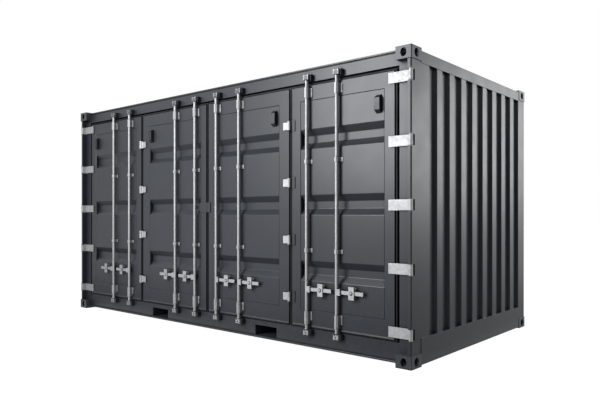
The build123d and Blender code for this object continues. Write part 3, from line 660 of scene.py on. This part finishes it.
# %% Finishes and edge rounding on the frame
ROD_ROUND = 0.003
EDGE_ROUND = {"grey_paint": 0.003, "casting_paint": 0.006, "galvanised_steel": 0.0015, "vent_black": 0.002,
              "floor_plywood": 0.001, "door_rubber": 0.002}
EDGE_ANGLE = math.radians(28)
ROD_ANGLE = math.radians(18)

slots = {part["node"]: part["material_slot"] for part in record["subparts"]}
for name, piece in nodes.items():
    slot = slots[name]
    piece.data.materials.clear()
    piece.data.materials.append(FINISHES[slot])
    rounding = piece.modifiers.new("edge_round", "BEVEL")
    round_bar = "lock_rod" in name
    rounding.width = ROD_ROUND if round_bar else EDGE_ROUND[slot]
    rounding.segments = 2
    rounding.limit_method = "ANGLE"
    rounding.angle_limit = ROD_ANGLE if round_bar else EDGE_ANGLE
    rounding.harden_normals = True
print("dressed", len(nodes), "pieces")

# %% [markdown]
# ## Pressed and folded sheet
# A press brake can't make a sharp bend, and the soft bends are what glints on every swage and corrugation. So
# the door panels and the corrugated walls are made again here: the same path as the steel's, with each corner
# turned into a small arc, given its thickness and drawn out along the bend. A weighted normal modifier keeps
# the flats flat in the light, so that only the bends turn it.


# %% Closed mesh helper
SHARP = math.radians(40)


def closed_mesh(name, points, faces, sharp=SHARP):
    """A mesh whose faces all look outward, smooth but for edges that turn more than the sharp angle."""
    mesh = bpy.data.meshes.new(name)
    mesh.from_pydata(points, [], faces)
    shape = bmesh.new()
    shape.from_mesh(mesh)
    bmesh.ops.recalc_face_normals(shape, faces=shape.faces)
    for face in shape.faces:
        face.smooth = True
    for edge in shape.edges:
        edge.smooth = edge.calc_face_angle(0.0) < sharp
    shape.to_mesh(mesh)
    shape.free()
    return bpy.data.objects.new(name, mesh)


# %% Folded sheet helpers
SHEET = 0.003


def channel_path(start, end, first_flat, channel, slope, pitch, count, depth):
    """Points (along, inward) of a sheet with trapezoidal channels between start and end."""
    points = [(start, 0.0)]
    for i in range(count):
        edge = start + first_flat + i * pitch
        points += [(edge, 0.0), (edge + slope, depth), (edge + channel - slope, depth), (edge + channel, 0.0)]
    return points + [(end, 0.0)]


def soften(points, radius, steps):
    """Turns each corner of a path into an arc of the given radius."""
    soft = [Vector(points[0])]
    for before, corner, after in zip(points, points[1:], points[2:]):
        corner = Vector(corner)
        back = (Vector(before) - corner).normalized()
        ahead = (Vector(after) - corner).normalized()
        half = back.angle(ahead) / 2
        middle = corner + (back + ahead).normalized() * radius / math.sin(half)
        first = corner + back * radius / math.tan(half) - middle
        last = corner + ahead * radius / math.tan(half) - middle
        for i in range(steps + 1):
            soft.append(middle + first.lerp(last, i / steps).normalized() * radius)
    return soft + [Vector(points[-1])]


def folded_sheet(name, path, across, place):
    """A sheet along a path of (along, inward), drawn out over across; place turns three values into a point."""
    rows = []
    for inset in (0.0, SHEET):
        rows.append([[place(along, inward + inset, side) for along, inward in path] for side in across])
    count = len(path)
    points = [point for face in rows for edge in face for point in edge]
    quads = []
    for i in range(count - 1):
        outer = (i, i + 1, count + i + 1, count + i)
        inner = tuple(2 * count + k for k in reversed(outer))
        quads += [outer, inner]
        quads += [(i, 2 * count + i, 2 * count + i + 1, i + 1)]
        quads += [(count + i, count + i + 1, 3 * count + i + 1, 3 * count + i)]
    for i in (0, count - 1):
        quads.append((i, count + i, 3 * count + i, 2 * count + i))
    sheet = closed_mesh(name, points, quads)
    flats = sheet.modifiers.new("flat_faces", "WEIGHTED_NORMAL")
    flats.keep_sharp = True
    return sheet


print("folded sheets have", SHEET * 1000, "mm walls")


# %% [markdown]
# ### Adding a piece
# Every new piece is linked to the scene, gets its finish from a slot of the record, and rides on a body of the
# frame.


# %% Adding a piece
def add_piece(piece, body, slot):
    """Links a piece, gives it the slot's finish and lets it ride on the body."""
    bpy.context.scene.collection.objects.link(piece)
    piece.data.materials.append(FINISHES[slot])
    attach(piece, body)
    return piece


print("slots", sorted(FINISHES))

# %% [markdown]
# ### Door panels
# Each panel has three pressings across it, which stiffen the thin sheet. The panel's box in the frame gives
# their depth and the sheet's edges; the pitch is measured from middle to middle.

# %% Door panels
SWAGE_COUNT = 3
SWAGE_PITCH = 0.675
SWAGE_FLAT = 0.075
SWAGE_SLOPE = 0.065
PANEL_BEND = 0.016
BEND_STEPS = 5
LEAVES = ("right_outer_leaf", "right_inner_leaf", "left_inner_leaf", "left_outer_leaf")

for leaf in LEAVES:
    low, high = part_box(leaf + "_panel")
    swage = SWAGE_FLAT + 2 * SWAGE_SLOPE
    first_flat = (high[2] - low[2] - (SWAGE_COUNT - 1) * SWAGE_PITCH - swage) / 2
    bends = channel_path(low[2], high[2], first_flat, swage, SWAGE_SLOPE, SWAGE_PITCH, SWAGE_COUNT,
                         high[1] - low[1] - SHEET)
    face = low[1]
    panel = folded_sheet(leaf + "_pressed_panel", soften(bends, PANEL_BEND, BEND_STEPS), (low[0], high[0]),
                         lambda level, inward, side: (side, face + inward, level))
    add_piece(panel, leaf, "grey_paint")
    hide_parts(leaf + "_panel")
print("four pressed panels")

# %% [markdown]
# ### Corrugated walls
# The walls are folded in upright channels. A plan holds a wall's sharp path and a function that turns a point
# of the path into a place in the scene, because the welds further down follow the same path.

# %% Corrugated walls
WALL_CHANNEL = 0.135
WALL_SLOPE = 0.020
WALL_BEND = 0.005
END_CHANNELS, END_FLATS = 9, (0.138, 0.014)
REAR_CHANNELS, REAR_FLATS = 21, (0.040, 0.040)


def wall_plan(node, across, sign, channels, flats):
    """The path of a wall that faces the axis across, its placing function and its bottom and top levels."""
    low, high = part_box(node)
    along = 1 - across
    pitch = (high[along] - low[along] - sum(flats) - WALL_CHANNEL) / (channels - 1)
    bends = channel_path(low[along], high[along], flats[0], WALL_CHANNEL, WALL_SLOPE, pitch, channels,
                         high[across] - low[across] - SHEET)
    face = high[across] if sign > 0 else low[across]

    def place(step, inward, level):
        depth = face - sign * inward
        return (step, depth, level) if across else (depth, step, level)

    return bends, place, (low[2], high[2])


wall_plans = {
    "right_end_wall": wall_plan("right_end_wall", 0, 1, END_CHANNELS, END_FLATS),
    "left_end_wall": wall_plan("left_end_wall", 0, -1, END_CHANNELS, END_FLATS),
    "rear_wall": wall_plan("rear_wall", 1, 1, REAR_CHANNELS, REAR_FLATS),
}
for node, (bends, place, levels) in wall_plans.items():
    wall = folded_sheet(node.replace("_wall", "_sheet"), soften(bends, WALL_BEND, BEND_STEPS), levels, place)
    add_piece(wall, "root", "grey_paint")
    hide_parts(node)
print("three corrugated walls, bends of", WALL_BEND * 1000, "mm")

# %% [markdown]
# ## Rivets
# A rivet head is a shallow dome. All the heads of one body and finish go into one mesh, and their places come
# from the frame: a lock rod's joint gives its axis, and the leaf's box gives the levels of its guides.


# %% Rivet heads
FORWARD = Vector((0, -1, 0))
SIDEWAYS = Vector((1, 0, 0))


def add_dome(shape, centre, radius, height, facing, sides=14, rings=4):
    """A round head that stands on a plane and faces away from it."""
    centre, other = Vector(centre), facing.cross(SIDEWAYS)
    turns = [2 * math.pi * i / sides for i in range(sides)]
    spokes = [SIDEWAYS * math.cos(turn) + other * math.sin(turn) for turn in turns]
    loops = []
    for ring in range(rings):
        rise = ring / rings * math.pi / 2
        wide, tall = radius * math.cos(rise), height * math.sin(rise)
        loops.append([shape.verts.new(centre + facing * tall + spoke * wide) for spoke in spokes])
    tip = shape.verts.new(centre + facing * height)
    for lower, upper in zip(loops, loops[1:]):
        for i in range(sides):
            shape.faces.new((lower[i], lower[(i + 1) % sides], upper[(i + 1) % sides], upper[i]))
    for i in range(sides):
        shape.faces.new((loops[-1][i], loops[-1][(i + 1) % sides], tip))
    shape.faces.new(reversed(loops[0]))


def dome_field(name, heads, body, slot, facing=FORWARD):
    """One mesh of many heads; each head is a centre, a radius and a height."""
    shape = bmesh.new()
    for centre, radius, height in heads:
        add_dome(shape, centre, radius, height, facing)
    bmesh.ops.recalc_face_normals(shape, faces=shape.faces)
    for face in shape.faces:
        face.smooth = True
    mesh = bpy.data.meshes.new(name)
    shape.to_mesh(mesh)
    shape.free()
    return add_piece(bpy.data.objects.new(name, mesh), body, slot)


print("rivets are shallow domes")

# %% [markdown]
# ### Where the rivets sit
# Each handle's cross plate has one large rivet on a darker ring of casting paint, each sleeve plate has four
# small rivets and each ring two. The catch behind the handle is held by two more.

# %% Rivets on rods and guides
HANDLE_RISE = 0.383
CATCH_FROM_ROD = 0.197
HASP_AHEAD = 0.0135
SLEEVE_PLATE = 0.006
LOWER_SLEEVE_RISE = 0.106
UPPER_SLEEVE_DROP = 0.074
RING_OFFSET = 0.453
PANEL_SET_IN = 0.002
SLEEVE_RIVET = (0.037, 0.028)
RING_RIVET = 0.040
CATCH_RIVET = 0.040
HASP_HEAD = (0.0125, 0.006)
HASP_DARK_RING = (0.021, 0.0015)
DARK_RING_LIFT = 0.001
GUIDE_HEAD = (0.0075, 0.0045)
CATCH_HEAD = (0.0065, 0.004)

rod_axes = {joint["child"]: Vector(joint["pos_m"])
            for joint in record["behaviour"]["joints"] if "lock_rod" in joint["child"]}
for leaf in LEAVES:
    low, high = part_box(leaf + "_frame")
    sleeve_face = low[1] - SLEEVE_PLATE
    ring_face = sleeve_face + PANEL_SET_IN
    middle = (low[2] + high[2]) / 2
    handle_level = low[2] + HANDLE_RISE
    heads = []
    for rod, axis in rod_axes.items():
        if not rod.startswith(leaf):
            continue
        toward_post = math.copysign(1, axis.x)
        hasp = Vector((axis.x + toward_post * CATCH_FROM_ROD, axis.y - HASP_AHEAD, handle_level))
        # the large rivet sits on a darker ring of casting paint
        dome_field(rod + "_rivet", [(hasp + FORWARD * DARK_RING_LIFT, *HASP_HEAD)], rod, "galvanised_steel")
        dome_field(rod + "_dark_ring", [(hasp, *HASP_DARK_RING)], rod, "casting_paint")
        for level in (low[2] + LOWER_SLEEVE_RISE, high[2] - UPPER_SLEEVE_DROP):
            for across in (-SLEEVE_RIVET[0], SLEEVE_RIVET[0]):
                for rise in (-SLEEVE_RIVET[1], SLEEVE_RIVET[1]):
                    heads.append(((axis.x + across, sleeve_face, level + rise), *GUIDE_HEAD))
        for level in (middle - RING_OFFSET, middle + RING_OFFSET):
            for across in (-RING_RIVET, RING_RIVET):
                heads.append(((axis.x + across, ring_face, level), *GUIDE_HEAD))
        for rise in (-CATCH_RIVET, CATCH_RIVET):
            heads.append(((hasp.x, ring_face, handle_level + rise), *CATCH_HEAD))
    dome_field(leaf + "_guide_rivets", heads, leaf, "galvanised_steel")
    print(leaf, "has", len(heads), "rivets")

# %% [markdown]
# ### Cam faces
# A cam is a rough casting. A thin plate of darker casting paint lies on its face, larger on the upper cam,
# where it leaves the zinc of the top and side rims bright, with the small bolts that hold the cam on the rod.

# %% Cam faces
CAM_AHEAD = 0.018
CAM_HALF = 0.028
PLATE_THICK = 0.0012
LOWER_DARK_PLATE = (0.010, -0.008, 0.008)
UPPER_DARK_PLATE = (0.026, -0.026, 0.014)
LOWER_BOLT, LOWER_BOLT_ACROSS, LOWER_BOLT_RISE = 0.0055, 0.024, 0.018
UPPER_BOLT, UPPER_BOLT_ACROSS, UPPER_BOLT_DROP = 0.0050, 0.012, 0.006
BOLT_TALL = 0.003


def cam_levels(rod):
    """The middle levels of a rod's two cams, which end the rod."""
    low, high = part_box(rod)
    return low[2] + CAM_HALF, high[2] - CAM_HALF


def thin_plates(name, plates, front, body, slot):
    """Thin upright plates on a face at front; each is a middle, a half width, a bottom and a top."""
    shape = bmesh.new()
    for middle, half, bottom, top in plates:
        size = (2 * half, 2 * PLATE_THICK, top - bottom)
        place = Matrix.Translation((middle, front, (bottom + top) / 2)) @ Matrix.Diagonal((*size, 1))
        bmesh.ops.create_cube(shape, size=1.0, matrix=place)
    mesh = bpy.data.meshes.new(name)
    shape.to_mesh(mesh)
    shape.free()
    return add_piece(bpy.data.objects.new(name, mesh), body, slot)


for rod, axis in rod_axes.items():
    front = axis.y - CAM_AHEAD
    lower, upper = cam_levels(rod)
    # a thin plate of darker casting paint on each cam's face
    plates = [(axis.x, half, level + bottom, level + top)
              for level, (half, bottom, top) in ((lower, LOWER_DARK_PLATE), (upper, UPPER_DARK_PLATE))]
    thin_plates(rod + "_cam_dark_plate", plates, front, rod, "casting_paint")
    places = [(lower + rise, across, LOWER_BOLT) for rise in (-LOWER_BOLT_RISE, LOWER_BOLT_RISE)
              for across in (-LOWER_BOLT_ACROSS, LOWER_BOLT_ACROSS)]
    places += [(upper - UPPER_BOLT_DROP, across, UPPER_BOLT)
               for across in (-UPPER_BOLT_ACROSS, UPPER_BOLT_ACROSS)]
    bolts = [((axis.x + across, front - PLATE_THICK, level), radius, BOLT_TALL)
             for level, across, radius in places]
    dome_field(rod + "_cam_bolts", bolts, rod, "galvanised_steel")
print(len(rod_axes), "rods have two cam faces each")

# %% [markdown]
# ### Collars on the rods
# Beside each cam a collar is pressed on the rod, and a thin ring of dark casting paint between the two is
# painted shade for a gap. A collar is a closed ring turned about the rod's axis: a profile of radius and level,
# spun round, whose inner wall is sunk in the rod.


# %% Rod collars
COLLAR_SIDES = 24


def collars(name, axis, levels, profile, body, slot):
    """Closed rings round an upright axis; the profile lists radius and height above each level."""
    points, faces = [], []
    for level in levels:
        first = len(points)
        for radius, rise in profile:
            for i in range(COLLAR_SIDES):
                turn = 2 * math.pi * i / COLLAR_SIDES
                spoke = Vector((math.cos(turn), math.sin(turn), 0))
                points.append(Vector((axis.x, axis.y, level + rise)) + spoke * radius)
        for ring in range(len(profile)):
            lower = first + ring * COLLAR_SIDES
            upper = first + (ring + 1) % len(profile) * COLLAR_SIDES
            for i in range(COLLAR_SIDES):
                k = (i + 1) % COLLAR_SIDES
                faces.append((lower + i, lower + k, upper + k, upper + i))
    return add_piece(closed_mesh(name, points, faces), body, slot)


ROD_RADIUS = 0.017
SHADE_RING_TALL = 0.006
COLLAR_TALL = 0.010
COLLAR_WALL = 0.004
COLLAR_CHAMFER = 0.001
SHADE_RING_WALL = 0.0012
SUNK = 0.002
for rod, axis in rod_axes.items():
    outside = ROD_RADIUS + COLLAR_WALL
    shade_ring_radius = ROD_RADIUS + SHADE_RING_WALL
    core = ROD_RADIUS - SUNK
    lower, upper = cam_levels(rod)
    # painted shade: a ring of dark casting paint stands for the gap between cam and collar
    seats = [lower + CAM_HALF, upper - CAM_HALF - SHADE_RING_TALL]
    profile = [(core, 0.0), (shade_ring_radius, 0.0), (shade_ring_radius, SHADE_RING_TALL), (core, SHADE_RING_TALL)]
    collars(rod + "_painted_gap_shade", axis, seats, profile, rod, "casting_paint")
    seats = [lower + CAM_HALF + SHADE_RING_TALL, upper - CAM_HALF - SHADE_RING_TALL - COLLAR_TALL]
    shoulder = outside - COLLAR_CHAMFER
    profile = [(core, 0.0), (shoulder, 0.0), (outside, COLLAR_CHAMFER),
               (outside, COLLAR_TALL - COLLAR_CHAMFER), (shoulder, COLLAR_TALL), (core, COLLAR_TALL)]
    collars(rod + "_collars", axis, seats, profile, rod, "galvanised_steel")
print(len(rod_axes), "rods have collars")

# %% [markdown]
# ## Weld beads
# Where sheet meets rail and post meets casting, the welder leaves a bead with fine ripples. A bead is a thin
# tube along a path whose radius swells and shrinks every few millimetres; half of it is sunk in the corner.


# %% Weld bead helper
BEAD_STEP = 0.007
RIPPLE = 0.16
BEAD_SHARP = math.radians(75)
UPRIGHT = Vector((0, 0, 1))
NEARLY_UPRIGHT = 0.9


def walk(points, step):
    """Evenly spaced points along a path."""
    spaced = [Vector(points[0])]
    for start, end in zip(points, points[1:]):
        start, end = Vector(start), Vector(end)
        count = max(1, round((end - start).length / step))
        spaced += [start.lerp(end, (i + 1) / count) for i in range(count)]
    return spaced


def weld_beads(name, paths, radius, body, slot, sides=6):
    """One mesh of capped, rippled tubes along the given paths."""
    points, faces = [], []
    for path in paths:
        spaced = walk(path, BEAD_STEP)
        first = len(points)
        for i, centre in enumerate(spaced):
            ahead = (spaced[min(i + 1, len(spaced) - 1)] - spaced[max(i - 1, 0)]).normalized()
            steep = abs(ahead.z) > NEARLY_UPRIGHT
            across = (ahead.orthogonal() if steep else ahead.cross(UPRIGHT)).normalized()
            up = across.cross(ahead)
            size = radius * (1 + RIPPLE * (-1) ** i)
            for k in range(sides):
                turn = 2 * math.pi * k / sides
                points.append(centre + (across * math.cos(turn) + up * math.sin(turn)) * size)
        for i in range(len(spaced) - 1):
            for k in range(sides):
                a, b = first + i * sides + k, first + i * sides + (k + 1) % sides
                faces.append((a, b, b + sides, a + sides))
        faces += [tuple(range(first, first + sides)), tuple(range(len(points) - sides, len(points)))]
    return add_piece(closed_mesh(name, points, faces, BEAD_SHARP), body, slot)


print("beads ripple every", BEAD_STEP * 1000, "mm")

# %% [markdown]
# ### Where the welds run
# A bead follows each wall's path along its foot and its head, each post is welded to its castings across its
# end face, a rear post also across its rear face, and one heavier bead runs along the toe of the sill. A rear
# post is as wide as its casting is long.

# %% Weld beads on the frame
BEAD = 0.003
TOE_BEAD = 0.007
TOE_RISE = 0.014
CASTING_LONG = 0.178

sheet_paths = []
for bends, place, levels in wall_plans.values():
    for level in levels:
        sheet_paths.append([place(step, inward, level) for step, inward in bends])
weld_beads("sheet_beads", sheet_paths, BEAD, "root", "grey_paint")

corner_paths = []
for level in (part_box("bottom_corner_castings")[1][2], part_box("top_corner_castings")[0][2]):
    for sign, front_post in ((1, "front_right_post"), (-1, "front_left_post")):
        low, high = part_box(front_post)
        outside = high[0] if sign > 0 else low[0]
        corner_paths.append([(outside, high[1], level), (outside, low[1], level)])
        low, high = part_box("rear_posts")
        outside = high[0] if sign > 0 else low[0]
        inside = sign * (cad_box[1][0] - CASTING_LONG)
        corner_paths.append([(outside, low[1], level), (outside, high[1], level)])
        corner_paths.append([(outside, high[1], level), (inside, high[1], level)])
weld_beads("casting_beads", corner_paths, BEAD, "root", "grey_paint")

low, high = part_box("front_sill")
toe = low[2] + TOE_RISE
weld_beads("toe_bead", [[(low[0], low[1], toe), (high[0], low[1], toe)]], TOE_BEAD, "root", "grey_paint")
print(len(sheet_paths), "sheet beads and", len(corner_paths), "casting beads")

# %% [markdown]
# ## Drip lips and the groove's painted shade
# The foot of each leaf ends in a small folded lip that throws rain clear of the sill. It leans forward, so it
# mirrors more of the bright studio than the leaf above it and reads as a fine light line. A strip of dark door
# rubber in the header's groove is painted shade, which keeps the groove dark.

# %% Drip lips and the groove's painted shade
LIP_TALL = 0.009
LIP_OUT = 0.003
LIP_DROP = 0.007
LIP_INSET = 0.004
LIP_SHARP = math.radians(10)
GROOVE_SPAN = (0.031, 0.014)
GROOVE_INSET = 0.010
GROOVE_END = 0.015

for leaf in LEAVES:
    low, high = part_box(leaf + "_frame")
    face, foot = low[1], low[2]
    profile = [(face, foot + LIP_TALL), (face - LIP_OUT, foot - LIP_DROP / 2),
               (face - LIP_OUT, foot - LIP_DROP), (face, foot - LIP_DROP)]
    ends = [[(x, y, z) for y, z in profile] for x in (low[0] + LIP_INSET, high[0] - LIP_INSET)]
    count = len(profile)
    sides = [(i, (i + 1) % count, count + (i + 1) % count, count + i) for i in range(count)]
    caps = [tuple(range(count)), tuple(range(count, 2 * count))]
    lip = closed_mesh(leaf + "_drip_lip", ends[0] + ends[1], sides + caps, LIP_SHARP)
    add_piece(lip, leaf, "grey_paint")

# painted shade: a dark rubber strip fills the header's groove
low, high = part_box("front_header")
groove = (0.0, high[0] - GROOVE_END, high[2] - GROOVE_SPAN[0], high[2] - GROOVE_SPAN[1])
thin_plates("groove_painted_shade", [groove], low[1] + GROOVE_INSET, "root", "door_rubber")
print("four drip lips and one groove of painted shade")
